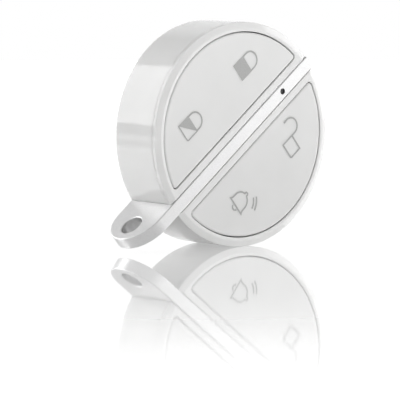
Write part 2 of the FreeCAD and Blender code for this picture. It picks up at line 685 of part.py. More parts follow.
def make_mat(label, side):
    mat = new_body(label)
    edge = leg_half + 0.3
    mat_radius = window_radius - s.mat_gap
    sk = new_sketch(mat, label + "_outline", height=-s.board_depth)
    draw_key_outline(sk, side, edge, mat_radius)
    pad(mat, sk, label + "_sheet", s.mat_thickness)
    sk = new_sketch(mat, label + "_plunger_circles", height=-s.board_depth)
    draw_circles(sk, switch_places([side]), s.plunger_radius)
    pad(mat, sk, label + "_plungers", s.board_depth - plunger_top)
    sk = new_sketch(mat, label + "_rest_circles", height=-s.board_depth)
    draw_circles(sk, [(side * (edge + 1.1), 0), (side * (mat_radius - 1.2), 0)], 0.8)
    pad(mat, sk, label + "_rests", s.board_depth - plunger_top)
    sk = new_sketch(mat, label + "_dome_circles", height=-(s.board_depth - s.dome_height - 0.1))
    draw_circles(sk, switch_places([side]), s.dome_radius + 0.3)
    pocket(mat, sk, label + "_dome_rooms", s.dome_height + 0.5)
    sk = new_sketch(mat, label + "_boss_circles")
    draw_circles(sk, screw_places([side]), s.boss_radius + 0.3)
    pocket(mat, sk, label + "_boss_cuts", s.board_depth + 1)
    return mat


left_mat = make_mat("left_key_mat", -1)
right_mat = make_mat("right_key_mat", 1)

# Circuit board, with a notch for the lug's tab and the cover's legs

board = new_body("circuit_board")
sk = new_sketch(board, "board_circle", height=-board_back)
draw_circle(sk, 0, 0, board_radius)
draw_circles(sk, screw_places(), s.screw_radius + s.screw_play)
peg_x = (cradle_inner + cradle_outer) / 2
draw_circles(sk, [(peg_x, 0), (-peg_x, 0)], s.peg_radius + s.seat_fit)
pad(board, sk, "board_sheet", s.board_thickness)
sk = new_sketch(board, "board_notch_box", height=-s.board_depth)
draw_box(sk, -(leg_half + 0.3), leg_half + 0.3, -(board_radius + 1), -(tab_inner - 0.4))
pocket(board, sk, "board_notch", s.board_thickness)

# Snap domes: four shallow caps of sheet metal on the board

dome_sphere = (s.dome_radius * s.dome_radius + s.dome_height * s.dome_height) / (2 * s.dome_height)
domes = []
for n, (x, y) in enumerate(switch_places(), 1):
    outer = doc.addObject("Part::Sphere", "dome_outer_%d" % n)
    inner = doc.addObject("Part::Sphere", "dome_inner_%d" % n)
    bind(outer, "Radius", dome_sphere)
    bind(inner, "Radius", dome_sphere - s.dome_sheet)
    dome_skin = doc.addObject("Part::Cut", "dome_sheet_%d" % n)
    dome_skin.Base, dome_skin.Tool = outer, inner
    slice_rod = doc.addObject("Part::Cylinder", "dome_slice_%d" % n)
    bind(slice_rod, "Radius", s.dome_radius + 0.2)
    bind(slice_rod, "Height", s.dome_height)
    centre = s.board_depth - s.dome_height + dome_sphere
    for part, drop in ((outer, centre), (inner, centre), (slice_rod, s.board_depth)):
        bind(part, "Placement.Base.x", x)
        bind(part, "Placement.Base.y", y)
        bind(part, "Placement.Base.z", -drop)
    cap = doc.addObject("Part::Common", "snap_dome_%d" % n)
    cap.Base, cap.Tool = dome_skin, slice_rod
    domes.append(cap)
snap_domes = doc.addObject("Part::Compound", "snap_domes")
snap_domes.Links = domes

# Indicator: a surface-mounted light on the board and the smoked pipe that leads to the bar's hole

led = new_body("led")
sk = new_sketch(led, "led_box", height=-s.board_depth)
half = s.led_length / 2
draw_box(sk, -half, half, led_offset - half / 2, led_offset + half / 2)
pad(led, sk, "led_case", s.led_height)
sk = new_sketch(led, "led_lens_circle", height=-(s.board_depth - s.led_height))
draw_circle(sk, 0, led_offset, s.led_length * 0.19)
pad(led, sk, "led_lens", 0.05)

pipe = new_body("light_pipe")
sk = new_sketch(pipe, "pipe_flange_circle", height=-(beam_depth + 0.08))
draw_circle(sk, 0, led_offset, flange_radius - s.seat_fit)
pad(pipe, sk, "pipe_flange", s.pipe_flange + 0.08)
sk = new_sketch(pipe, "pipe_stem_circle", height=-beam_depth)
draw_circle(sk, 0, led_offset, s.led_hole_radius - s.seat_fit)
pad(pipe, sk, "pipe_stem", beam_depth - s.pipe_sunk)
round_edges(pipe, "pipe_tip", 0.15,
            lambda e: isinstance(e.Curve, Part.Circle) and near(e.Curve.Center.z, -s.pipe_sunk))

# Chips and small components on the back of the board


def make_chip(label, boxes, height):
    chip = new_body(label)
    sk = new_sketch(chip, label + "_boxes", height=-(board_back + height))
    for x, y, length, width in boxes:
        draw_box(sk, x - length / 2, x + length / 2, y - width / 2, y + width / 2)
    pad(chip, sk, label + "_case", height)
    return chip


side_x = (cradle_outer + board_radius) / 2
p = s.passive_length
radio_y = s.radio_length / 2 + p
radio = make_chip("radio_chip", [(-side_x, radio_y, s.radio_length, s.radio_length)], s.chip_height)
controller_x = cradle_outer + s.controller_length * 0.44 + p * 0.75
controller = make_chip("controller_chip", [
    (controller_x, Size(0), s.controller_length * 0.88, s.controller_length)], s.chip_height)
crystal = make_chip("crystal", [
    (-side_x, -s.crystal_length / 2, s.crystal_length, s.crystal_length * 0.78)], s.crystal_length * 0.22)
round_edges(crystal, "crystal_corners", 0.3, lambda e: near(abs(e.tangentAt(e.FirstParameter).z), 1))
above = radio_y + s.radio_length / 2
below = -s.crystal_length
passives = make_chip("chip_passives", [
    (-side_x + p * 0.625, above + p * 1.25, p, p / 2), (-side_x + p * 0.875, above + p * 2.4, p, p / 2),
    (-side_x - p * 0.625, below - p, p / 2, p), (-side_x + p * 0.375, below - p, p / 2, p),
    (-side_x + p * 1.375, below - p, p / 2, p), (-side_x + p, below - p * 3.1, p, p / 2),
    (side_x - p, s.controller_length / 2 + p * 1.3, p, p / 2),
    (side_x - p, -s.controller_length / 2 - p * 1.3, p, p / 2),
    (-screw_x * 0.6, screw_y, p, p / 2), (screw_x * 0.6, screw_y, p, p / 2)], p * 0.28)

# Antenna: a wire loop that stands off the board, with a leg at each end

loop_radius = float(wall_inner - s.loop_gap)
loop_level = -float(board_back + s.loop_rise)
loop_end = math.radians(float(s.loop_half))
bend = float(s.wire_bend)
bend_end = loop_end - bend / loop_radius


def loop_point(angle, height=loop_level):
    return V(loop_radius * math.cos(angle), loop_radius * math.sin(angle), height)


def antenna_leg(sign):
    """The leg and its quarter bend at one end of the loop, from the board outward."""
    meet = loop_point(sign * bend_end)
    onward = V(-math.sin(sign * bend_end), math.cos(sign * bend_end), 0) * sign * bend
    centre = meet + V(0, 0, bend)
    foot = V(meet.x + onward.x, meet.y + onward.y, -float(board_back))
    knee = centre + onward
    middle = centre + onward * math.cos(math.pi / 4) - V(0, 0, bend) * math.sin(math.pi / 4)
    return Part.LineSegment(foot, knee).toShape(), Part.Arc(knee, middle, meet).toShape()


sweep = Part.Arc(loop_point(-bend_end), loop_point(0), loop_point(bend_end)).toShape()
first_leg, first_bend = antenna_leg(-1)
last_leg, last_bend = antenna_leg(1)
path = Part.Wire([first_leg, first_bend, sweep, last_bend, last_leg])
wire_end = Part.Circle(first_leg.Vertexes[0].Point, V(0, 0, 1), float(s.wire_radius)).toShape()
antenna = doc.addObject("Part::Feature", "antenna")
antenna.Shape = path.makePipeShell([Part.Wire([wire_end])], True, False)

# Battery: the cell, the ring round it and the two spring contacts

cell = new_body("coin_cell")
step = s.cell_thickness / 16
sk = new_sketch(cell, "cell_profile", "XZ_Plane")
draw_outline(sk, [
    (0, -cell_back), (s.cell_radius, -cell_back), (s.cell_radius, -(cell_depth + step * 2.5)),
    (s.cell_radius * 0.91, -(cell_depth + step)), (s.cell_radius * 0.89, -(cell_depth + step)),
    (s.cell_radius * 0.86, -cell_depth), (0, -cell_depth)])
revolve(cell, sk, "cell_can")
round_edges(cell, "cell_edge", 0.4, lambda e: is_circle(e, s.cell_radius, -cell_back))

cradle = new_body("battery_cradle")
sk = new_sketch(cradle, "cradle_circles", height=-(cell_back - 0.1))
draw_circle(sk, 0, 0, cradle_inner)
draw_circle(sk, 0, 0, cradle_outer)
pad(cradle, sk, "cradle_ring", cell_back - 0.1 - board_back)
sk = new_sketch(cradle, "contact_gap_box", height=-board_back)
gap_half = s.contact_width / 2 + s.cradle_wall
draw_box(sk, -gap_half, gap_half, s.cell_radius * 0.8, cradle_outer + 1)
pocket(cradle, sk, "contact_gap", cell_back)
sk = new_sketch(cradle, "cradle_peg_circles", height=-board_back - 0.2)
draw_circles(sk, [(peg_x, 0), (-peg_x, 0)], s.peg_radius)
pad(cradle, sk, "cradle_pegs", s.board_thickness + 0.1)

leaf = s.contact_sheet
base = -(board_back + leaf)
level = -(cell_depth - leaf)
half = s.negative_half
negative = new_body("negative_contact")
sk = new_sketch(negative, "negative_outline", "XZ_Plane")
draw_outline(sk, [
    (half, -board_back), (-half, -board_back), (-half, base), (half * 0.81, base),
    (-half * 0.5, level), (-half * 0.75, level), (-half * 0.94, level + s.contact_space * 0.32),
    (-half, level + s.contact_space * 0.18), (-half * 0.78, -cell_depth),
    (-half * 0.47, -cell_depth), (half, base)])
pad(negative, sk, "negative_leaf", s.contact_width, both_ways=True)

positive = new_body("positive_contact")
touch = s.cell_radius + 0.02
leg_y = s.cell_radius + s.cradle_wall * 2
foot_y = leg_y + s.contact_width * 0.67
bulge = -(cell_depth + s.cell_thickness * 0.47)
leaf_end = -(cell_depth + s.cell_thickness * 0.75)
sk = new_sketch(positive, "positive_outline", "YZ_Plane")
draw_outline(sk, [
    (leg_y - leaf, -board_back), (foot_y, -board_back), (foot_y, base), (leg_y, base),
    (leg_y, -(cell_depth + 0.1)), (touch + leaf, bulge), (leg_y - leaf * 1.5, leaf_end),
    (leg_y - leaf * 2.5, leaf_end), (touch, bulge), (leg_y - leaf, -cell_depth)])
pad(positive, sk, "positive_leaf", s.contact_width, both_ways=True)

# Battery door: a flange with a coin slot outside, a neck with three bayonet tabs inside

door = new_body("battery_door")
sk = new_sketch(door, "door_profile", "XZ_Plane")
draw_outline(sk, [
    (0, back), (door_radius, back), (door_radius, -door_back), (neck_radius, -door_back),
    (neck_radius, -neck_top), (neck_inner, -neck_top), (neck_inner, back + s.door_floor),
    (s.cell_radius * 0.8, back + s.door_floor), (s.cell_radius * 0.8, -(cell_back + 0.05)),
    (0, -(cell_back + 0.05))])
revolve(door, sk, "door_disc")
round_edges(door, "door_edge", 0.2, lambda e: is_circle(e, door_radius, back))
sk = new_sketch(door, "tab_box", height=-tab_low, turn=30.0)
draw_box(sk, -s.tab_half, s.tab_half, neck_inner + 0.3, neck_radius + s.tab_reach)
tab = pad(door, sk, "tab", s.tab_height)
polar(door, [tab], "tabs", 3)
sk = new_sketch(door, "coin_slot_outline", height=back + s.coin_slot_depth)
half, end = s.coin_slot_width / 2, s.coin_slot_half - s.coin_slot_width / 2
draw_outline(sk, [(-end, -half), (end, -half), (end, half), (-end, half)],
             {1: (end, 0, True, "x"), 3: (-end, 0, True, "x")})
pocket(door, sk, "coin_slot", s.coin_slot_depth + 0.5)

seal = doc.addObject("Part::Torus", "door_seal")
bind(seal, "Radius1", neck_radius + s.seal_radius + 0.03)
bind(seal, "Radius2", s.seal_radius)
bind(seal, "Placement.Base.z", -(lip_depth + s.seal_radius + 0.02))
door_seal = doc.addObject("Part::Compound", "door_seal_ring")
door_seal.Links = [seal]

# Case screws and the lug's cross pin

screws = new_body("case_screws")
seat = back + s.head_sink
sk = new_sketch(screws, "head_circles", height=seat - s.head_height)
draw_circles(sk, screw_places(), s.head_radius)
pad(screws, sk, "heads", s.head_height)
sk = new_sketch(screws, "shank_circles", height=seat - s.head_height / 2)
draw_circles(sk, screw_places(), s.screw_radius)
pad(screws, sk, "shanks", s.body_thickness - s.head_sink + s.head_height / 2 - s.board_depth + s.screw_reach)
round_edges(screws, "head_edges", 0.3,
            lambda e: isinstance(e.Curve, Part.Circle) and near(e.Curve.Radius, s.head_radius)
            and near(e.Curve.Center.z, seat - s.head_height))

pin = doc.addObject("Part::Cylinder", "lug_pin_rod")
bind(pin, "Radius", s.pin_radius)
bind(pin, "Height", s.pin_length)
lug_pin = doc.addObject("Part::Chamfer", "lug_pin")
lug_pin.Base = pin
doc.recompute()
lug_pin.Edges = [(i, 0.2, 0.2) for i, e in enumerate(pin.Shape.Edges, 1) if isinstance(e.Curve, Part.Circle)]
doc.recompute()

# Stand the fob on its rim: face to minus Y, plate tilted, origin under the middle of its bounds

tilt = math.radians(float(s.stand_tilt))
turned = FreeCAD.Rotation(V(0, 1, 0), 90 - float(s.stand_tilt)) * FreeCAD.Rotation(V(1, 0, 0), 90)
lug_tip = float(lug_straight + lug_radius)
edge_r = float(s.plate_round)
left = (lug_tip - edge_r) * math.cos(tilt) + (float(plate_half) - edge_r) * math.sin(tilt) + edge_r
middle_x = (float(s.body_radius) - left) / 2
stand = FreeCAD.Placement(V(-middle_x, -float(s.body_thickness) / 2, float(s.body_radius)), turned)

NODES = {
    "rear_shell": shell, "front_cover": cover, "centre_plate": plate, "left_key": left_key,
    "right_key": right_key, "left_key_mat": left_mat, "right_key_mat": right_mat,
    "circuit_board": board, "snap_domes": snap_domes, "led": led, "light_pipe": pipe,
    "radio_chip": radio, "controller_chip": controller, "crystal": crystal,
    "chip_passives": passives, "antenna": antenna, "coin_cell": cell, "battery_cradle": cradle,
    "negative_contact": negative, "positive_contact": positive, "battery_door": door,
    "door_seal": door_seal, "case_screws": screws, "lug_pin": lug_pin,
}
seal.Label = "door_seal_torus"
for label, node in NODES.items():
    node.Label = label
    if node is not lug_pin:
        node.Placement = stand
lying = FreeCAD.Placement(V(-float(s.pin_length) / 2, -float(pin_offset), -float(s.pin_depth)),
                          FreeCAD.Rotation(V(0, 1, 0), 90))
pin.Placement = stand * lying
doc.recompute()

# Check every object, then write the files

for obj in doc.Objects:
    if "Invalid" in obj.State or "Error" in obj.State:
        raise RuntimeError("%s failed: %s" % (obj.Label, obj.State))
for label, node in NODES.items():
    if node.Shape.isNull() or not node.Shape.isValid() or not node.Shape.Solids:
        raise RuntimeError("%s has no valid shape" % label)

os.makedirs("parts", exist_ok=True)
for label, node in NODES.items():
    node.Shape.exportStep("parts/%s.step" % label)
print("written: %d pieces" % len(NODES))
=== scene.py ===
import bmesh
import bpy
import math
from mathutils import Matrix, Vector


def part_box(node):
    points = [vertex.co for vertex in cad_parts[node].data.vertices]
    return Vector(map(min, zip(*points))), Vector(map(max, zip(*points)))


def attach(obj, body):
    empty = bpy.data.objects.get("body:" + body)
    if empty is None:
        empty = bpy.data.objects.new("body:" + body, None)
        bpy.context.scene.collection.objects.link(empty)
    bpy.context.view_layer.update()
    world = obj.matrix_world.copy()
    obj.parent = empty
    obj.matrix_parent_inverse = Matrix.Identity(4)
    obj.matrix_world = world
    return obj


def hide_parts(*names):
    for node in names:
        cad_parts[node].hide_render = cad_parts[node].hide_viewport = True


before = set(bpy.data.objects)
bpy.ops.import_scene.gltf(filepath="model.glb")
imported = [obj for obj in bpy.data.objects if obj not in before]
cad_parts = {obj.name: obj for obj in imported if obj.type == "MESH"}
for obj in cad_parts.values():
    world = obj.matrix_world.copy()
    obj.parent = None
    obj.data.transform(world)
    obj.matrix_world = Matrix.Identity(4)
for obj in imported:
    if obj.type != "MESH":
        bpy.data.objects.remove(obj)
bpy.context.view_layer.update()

# Viewpoint. A long lens looks at the fob from its left and a little above, near enough to read the
# pictograms on both keys. The fob's axis stands 22.6 mm above the floor.
body_radius = 0.0226
axis_x = 0.0021273
look_from, look_down, roll = (math.radians(angle) for angle in (-39.93946, 5.54269, -0.1262))
look_distance = 0.6507942
aim_left, aim_down = 0.0046516, 0.0135631
focal_pixels, frame_pixels = 3220.4577, 400
toward = Vector((math.sin(look_from) * math.cos(look_down),
                 -math.cos(look_from) * math.cos(look_down), math.sin(look_down)))
right = (-toward).cross(Vector((0, 0, 1))).normalized()
upward = right.cross(-toward)
right, upward = (math.cos(roll) * right + math.sin(roll) * upward,
                 math.cos(roll) * upward - math.sin(roll) * right)
target = Vector((axis_x, -0.0001, body_radius)) - aim_left * right - aim_down * upward
lens = bpy.data.cameras.new("viewpoint")
lens.sensor_width = 36
lens.lens = focal_pixels / frame_pixels * 36
lens.clip_start, lens.clip_end = 0.01, 50
viewpoint = bpy.data.objects.new("viewpoint", lens)
turn = Matrix((right, upward, toward)).transposed().to_4x4()
viewpoint.matrix_world = Matrix.Translation(target + toward * look_distance) @ turn
bpy.context.scene.collection.objects.link(viewpoint)
bpy.context.scene.camera = viewpoint
bpy.context.scene.view_settings.view_transform = "Standard"

# Floor. A white sheet of polished acrylic under the fob and in front of it, matt white further out,
# so the fob's mirror image is clear at its foot and fades with height.
floor_radius = 0.7
white = (1, 1, 1, 1)


def new_finish(name):
    """A material with its node tree, and the shader that takes its colour and roughness."""
    finish = bpy.data.materials.new(name)
    finish.use_nodes = True
    tree = finish.node_tree
    return finish, tree, tree.nodes["Principled BSDF"]


def feed(tree, shader, inputs):
    """Link each input that is given a socket, and set the others."""
    for key, value in dict(inputs).items():
        if isinstance(value, bpy.types.NodeSocket):
            tree.links.new(value, shader.inputs[key])
        else:
            shader.inputs[key].default_value = value


def node(tree, kind, inputs=(), **settings):
    made = tree.nodes.new("ShaderNode" + kind)
    for key, value in settings.items():
        setattr(made, key, value)
    feed(tree, made, inputs)
    return made


def ramp(tree, source, *stops):
    """A colour ramp over a value, from (position, grey or colour) pairs."""
    made = node(tree, "ValToRGB", {"Fac": source})
    elements = made.color_ramp.elements
    while len(elements) < len(stops):
        elements.new(0.5)
    for element, (position, colour) in zip(elements, stops):
        element.position = position
        element.color = (colour,) * 3 + (1,) if isinstance(colour, float) else (*colour, 1)
    return made.outputs["Color"]


# The sheet glows white with its own emission, like a lamp: this keeps it white, lifts the shade at
# the fob's foot and lights the fob's underside.
acrylic, tree, shader = new_finish("floor_acrylic")
feed(tree, shader, {"Base Color": (0.97, 0.97, 0.97, 1), "Roughness": 0.6,
                    "Specular IOR Level": 0.0, "Emission Color": white, "Emission Strength": 0.75})
place = node(tree, "TexCoord").outputs["Object"]
apart = node(tree, "VectorMath", {0: place}, operation="LENGTH")
polish = ramp(tree, apart.outputs["Value"], (0.04, 0.86), (0.09, 0.86), (0.138, 0.7), (0.183, 0.46),
              (0.23, 0.16), (0.27, 0.0), (0.3, 0.0))
polish.node.color_ramp.interpolation = "B_SPLINE"
mirror = node(tree, "BsdfGlossy", {"Color": (0.84, 0.84, 0.84, 1), "Roughness": 0.035})
# Painted light: a faint glow added over the mirror near the fob, lifting the mirrored shade and the
# contact shadow.
painted_mirror_glow = node(tree, "Emission", {"Color": white, "Strength": 0.11})
polished = node(tree, "AddShader", {0: mirror.outputs[0], 1: painted_mirror_glow.outputs[0]})
surface = node(tree, "MixShader", {"Fac": polish, 1: shader.outputs[0], 2: polished.outputs[0]})
feed(tree, tree.nodes["Material Output"], {"Surface": surface.outputs[0]})
sheet = bmesh.new()
bmesh.ops.create_circle(sheet, cap_ends=True, segments=96, radius=floor_radius)
floor_mesh = bpy.data.meshes.new("floor")
sheet.to_mesh(floor_mesh)
floor_mesh.materials.append(acrylic)
floor = bpy.data.objects.new("floor", floor_mesh)
bpy.context.scene.collection.objects.link(floor)

# Light. A white studio with a bright horizon. The softboxes behind the fob's left side and at its
# right show in the gloss, the first as the band of light along the side wall. Those at the rear,
# above and in front only fill the shade.


def mixed(tree, share, under, over, **settings):
    """One colour laid over another."""
    made = node(tree, "Mix", {"Factor": share, "A": under, "B": over}, data_type="RGBA", **settings)
    return made.outputs["Result"]


def facing(tree, place, direction):
    """How nearly a direction of the studio is this one."""
    made = node(tree, "VectorMath", {0: place, 1: direction}, operation="DOT_PRODUCT")
    return made.outputs["Value"]


studio = bpy.data.worlds.new("studio")
studio.use_nodes = True
bpy.context.scene.world = studio
tree = studio.node_tree
place = node(tree, "TexCoord").outputs["Generated"]
height = node(tree, "SeparateXYZ", {0: place}).outputs["Z"]
halved = node(tree, "VectorMath", {0: place, 1: (0.5, 0.5, 0.5), 2: (0.5, 0.5, 0.5)},
              operation="MULTIPLY_ADD")
across = node(tree, "SeparateXYZ", {0: halved.outputs[0]}).outputs
walls = ramp(tree, across["Y"], (0.0, 0.42), (0.36, 0.42), (0.5, 0.5), (0.75, 0.44), (1.0, 0.42))
side_shade = ramp(tree, across["X"], (0.0, 0.8), (0.25, 0.85), (0.42, 1.0), (1.0, 1.0))
walls = mixed(tree, 1.0, walls, side_shade, blend_type="MULTIPLY")
rear_window = ramp(tree, facing(tree, place, (0.541, 0.765, 0.351)), (0.93, 0.0), (0.985, 1.0))
walls = mixed(tree, rear_window, walls, white)
horizon = ramp(tree, height, (0.0, 1.0), (0.12, 1.0), (0.2, 0.0))
horizon_tone = ramp(tree, facing(tree, place, (-0.643, 0.766, 0)), (0.78, 1.0), (0.9, 0.55))
walls = mixed(tree, horizon, walls, horizon_tone)
seen = node(tree, "LightPath").outputs["Is Camera Ray"]
feed(tree, tree.nodes["Background"], {"Color": mixed(tree, seen, walls, white)})


def softbox(name, spot, width, height, power, aim=(0, 0, body_radius), mirrored=True):
    lamp = bpy.data.lights.new(name, "AREA")
    lamp.shape, lamp.size, lamp.size_y, lamp.energy = "RECTANGLE", width, height, power
    box = bpy.data.objects.new(name, lamp)
    box.location = spot
    box.rotation_mode = "QUATERNION"
    box.rotation_quaternion = (Vector(spot) - Vector(aim)).to_track_quat("Z", "Y")
    box.visible_camera = False
    box.visible_glossy = mirrored
    bpy.context.scene.collection.objects.link(box)


softbox("softbox_behind", (-0.395, 0.484, 0.349), 0.53, 0.54, power=2.15, aim=(-0.395, 0, 0.349))
softbox("softbox_rear", (-0.62, 0.75, 0.5), 0.6, 0.5, power=2.1, mirrored=False)
softbox("softbox_above", (0.0, 0.0, 1.3), 1.4, 1.4, power=1.6, mirrored=False)
softbox("softbox_front", (0.52, -0.85, 0.16), 1.0, 0.3, power=4.2, mirrored=False)
softbox("softbox_right", (0.95, -0.25, 0.15), 0.76, 0.58, power=3.2)

# Front cover. The ring that frames the keys, the skirt behind it and the beam for the metal plate,
# moulded in one piece of glossy white ABS. The polished tool leaves only a very fine grain.


def mottle(tree, place, scale, light, dark, spread=0.4):
    """A faint drift between two shades over the surface."""
    cloud = node(tree, "TexNoise", {"Vector": place, "Scale": scale, "Detail": 3.0})
    return ramp(tree, cloud.outputs["Fac"], (0.5 - spread / 2, dark), (0.5 + spread / 2, light))


def uneven(tree, noise, low, high):
    """Roughness that follows a noise between two values."""
    made = node(tree, "MapRange", {"Value": noise.outputs["Fac"], "To Min": low, "To Max": high})
    return made.outputs["Result"]


def grain(tree, shader, place, scale, depth):
    """Bump from fine noise: scale in features per metre, depth in metres."""
    fine = node(tree, "TexNoise", {"Vector": place, "Scale": scale, "Detail": 2.0})
    bump = node(tree, "Bump", {"Strength": 1.0, "Distance": depth, "Height": fine.outputs["Fac"]})
    feed(tree, shader, {"Normal": bump.outputs["Normal"]})


def dress(material, *names):
    for name in names:
        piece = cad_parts[name]
        piece.data.materials.clear()
        piece.data.materials.append(material)


def white_plastic(name, light, dark, roughness, grain_scale, grain_depth):
    finish, tree, shader = new_finish(name)
    place = node(tree, "TexCoord").outputs["Object"]
    smears = node(tree, "TexNoise", {"Vector": place, "Scale": 700.0, "Detail": 4.0})
    feed(tree, shader, {"Base Color": mottle(tree, place, 90.0, light, dark), "IOR": 1.54,
                        "Roughness": uneven(tree, smears, roughness - 0.03, roughness + 0.03),
                        "Subsurface Weight": 1.0, "Subsurface Radius": (1, 1, 1),
                        "Subsurface Scale": 0.0008})
    grain(tree, shader, place, grain_scale, grain_depth)
    return finish


case_white = white_plastic("case_white", (0.77, 0.77, 0.765), (0.74, 0.74, 0.735), roughness=0.08,
                           grain_scale=9000.0, grain_depth=1.2e-6)
dress(case_white, "front_cover")

# Keys. Two D-shaped rockers moulded in the same white with a finer satin face; each turns on its
# two trunnions in the cover and presses one of two switches.
key_white = white_plastic("key_white", (0.745, 0.745, 0.74), (0.72, 0.72, 0.715), roughness=0.3,
                          grain_scale=12000.0, grain_depth=2.5e-6)
dress(key_white, "left_key", "right_key")

# Pictograms. Pad-printed in grey ink on the keys: locked and half-locked padlocks on the left key,
# an open padlock and an alarm bell on the right one. The ink film stands 0.01 mm proud.
tilt = math.radians(38.4)
half_thickness = 0.0065
fob = Matrix(((math.sin(tilt), math.cos(tilt), 0, axis_x), (0, 0, -1, -half_thickness),
              (-math.cos(tilt), math.sin(tilt), 0, body_radius), (0, 0, 0, 1)))
millimetre = 0.001
ink_film = 0.01
line_weight = 0.34
corner_round = 0.3
inset = line_weight * 0.4


def finish_of(name, light, dark, scale, roughness, metal=0.0, spread=0.4, bump=(6000.0, 2.0e-6)):
    """A material with two drifting shades and a fine bump, given by its scale and depth."""
    finish, tree, shader = new_finish(name)
    place = node(tree, "TexCoord").outputs["Object"]
    feed(tree, shader, {"Base Color": mottle(tree, place, scale, light, dark, spread),
                        "Metallic": metal, "Roughness": roughness})
    if bump:
        grain(tree, shader, place, *bump)
    return finish


def add_piece(name, mesh, material, body, slot, *replaced, drawn=True):
    """Link a mesh and tie it to its body. A drawn mesh is in the fob's own millimetres."""
    if drawn:
        mesh.transform(fob @ Matrix.Scale(millimetre, 4))
    mesh.materials.append(material)
    piece = bpy.data.objects.new(name, mesh)
    bpy.context.scene.collection.objects.link(piece)
    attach(piece, body)
    if replaced:
        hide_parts(*replaced)


def arc(cx, cy, radius, start, end, steps=16):
    """Points on an arc, angles in degrees."""
    angles = [math.radians(start + (end - start) * i / steps) for i in range(steps + 1)]
    return [(cx + radius * math.cos(a), cy + radius * math.sin(a)) for a in angles]


def stroke(line, width, closed=False):
    """A ribbon of even width along a line, with mitred corners, as quads."""
    points = [Vector(p) for p in line]
    count = len(points)
    edges = []
    for i, point in enumerate(points):
        sides = []
        if closed or i:
            sides.append((point - points[i - 1]).normalized())
        if closed or i < count - 1:
            sides.append((points[(i + 1) % count] - point).normalized())
        along = sum(sides, Vector((0, 0))).normalized()
        across = Vector((-along.y, along.x))
        reach = width / 2 / max(0.5, across.dot(Vector((-sides[0].y, sides[0].x))))
        edges.append((point + across * reach, point - across * reach))
    ends = edges[1:] + edges[:1] if closed else edges[1:]
    return [(a, b, d, c) for (a, b), (c, d) in zip(edges, ends)]


def film_mesh(name, patches, level=0.0):
    """Flat patches, sunk one film's thickness into this level and standing as much proud of it."""
    film = bmesh.new()
    for patch in patches:
        face = film.faces.new([film.verts.new((x, y, level + ink_film)) for x, y in patch])
        if face.normal.z < 0:
            face.normal_flip()
    bmesh.ops.remove_doubles(film, verts=film.verts, dist=0.002)
    lower = bmesh.ops.extrude_face_region(film, geom=film.faces[:])["geom"]
    bmesh.ops.translate(film, vec=(0, 0, -2 * ink_film),
                        verts=[v for v in lower if isinstance(v, bmesh.types.BMVert)])
    bmesh.ops.recalc_face_normals(film, faces=film.faces)
    mesh = bpy.data.meshes.new(name)
    film.to_mesh(mesh)
    return mesh


def padlock_body(box, corner=0.0):
    """The lock's case, with one rounded corner if a radius is given."""
    left, right, low, high = box
    if not corner:
        return [(left, high), (left, low), (right, low), (right, high)]
    return ([(left, high), (left, low)] + arc(right - corner, low + corner, corner, -90, 0, 6)
            + [(right, high)])


def shackle(box, inward, lift, top):
    """The lock's bow: its feet stand inside the case's sides, lifted off its top line."""
    left, right, foot = box[0] + inward, box[1] - inward, box[3] + lift
    radius = (right - left) / 2
    return ([(left, foot)] + arc((left + right) / 2, top - radius, radius, 180, 0, 24)
            + [(right, foot)])


ink_grey = finish_of("ink_grey", (0.42, 0.42, 0.415), (0.36, 0.36, 0.355), 4000.0, 0.5, spread=0.3,
                     bump=(15000.0, 3.0e-6))


def print_sign(name, patches, body):
    add_piece(name, film_mesh(name, patches), ink_grey, body, "key_plastic")


locked_box = (-12.53, -8.63, 6.43, 9.64)
locked = [[Vector(p) for p in padlock_body(locked_box)]]
locked += stroke(shackle(locked_box, 0.17, 0.0, 12.37), line_weight)
print_sign("padlock_locked", locked, "left_rocker")

half_box = (-12.4, -8.6, -11.75, -8.7)
half_locked = stroke(padlock_body(half_box, corner_round), line_weight * 0.8, closed=True)
half_locked += [[Vector((half_box[0] + inset, half_box[3] - inset)),
                 Vector((half_box[0] + inset, half_box[2] + inset * 1.6)),
                 Vector((half_box[1] - inset * 1.6, half_box[3] - inset))]]
half_locked += stroke(shackle(half_box, 0.1, inset, -6.1), line_weight)
print_sign("padlock_half_locked", half_locked, "left_rocker")

open_box = (8.65, 12.1, 6.6, 9.6)
swung_bow = ([(open_box[0], open_box[3] + inset), (open_box[0] + 0.02, 10.2)]
             + arc(6.95, 10.55, 1.72, 2, 178, 24) + [(5.24, 10.2)])
open_lock = stroke(padlock_body(open_box, corner_round), line_weight, closed=True)
open_lock += stroke(swung_bow, line_weight)
open_lock += stroke([(5.24, 10.2), (5.26, 9.55)], line_weight * 1.3)
print_sign("padlock_open", open_lock, "right_rocker")

bell_middle, bell_foot = 9.85, -10.5
bell_dome = ([(7.65, bell_foot), (7.95, -10.0)] + arc(bell_middle, -9.0, 1.85, 175, 110, 8)
             + arc(bell_middle, -6.95, 0.36, 205, -25, 8) + arc(bell_middle, -9.0, 1.85, 70, 5, 8)
             + [(11.75, -10.0), (12.05, bell_foot)])
bell = stroke(bell_dome, line_weight, closed=True)
bell += stroke(arc(bell_middle, bell_foot - line_weight / 2, 0.72, 200, 340, 12), line_weight)
for wave_radius in (3.1, 3.9):
    bell += stroke(arc(10.2, -8.7, wave_radius, 20, 62, 10), line_weight)
print_sign("alarm_bell", bell, "right_rocker")

# Key mats. A sheet of grey silicone under each key, moulded with a soft plunger over each switch
# and two rests for the key's spine; it lies loose on the board, held by the cover's bosses.
mat_round = 0.00014
sharp_from = math.radians(40)


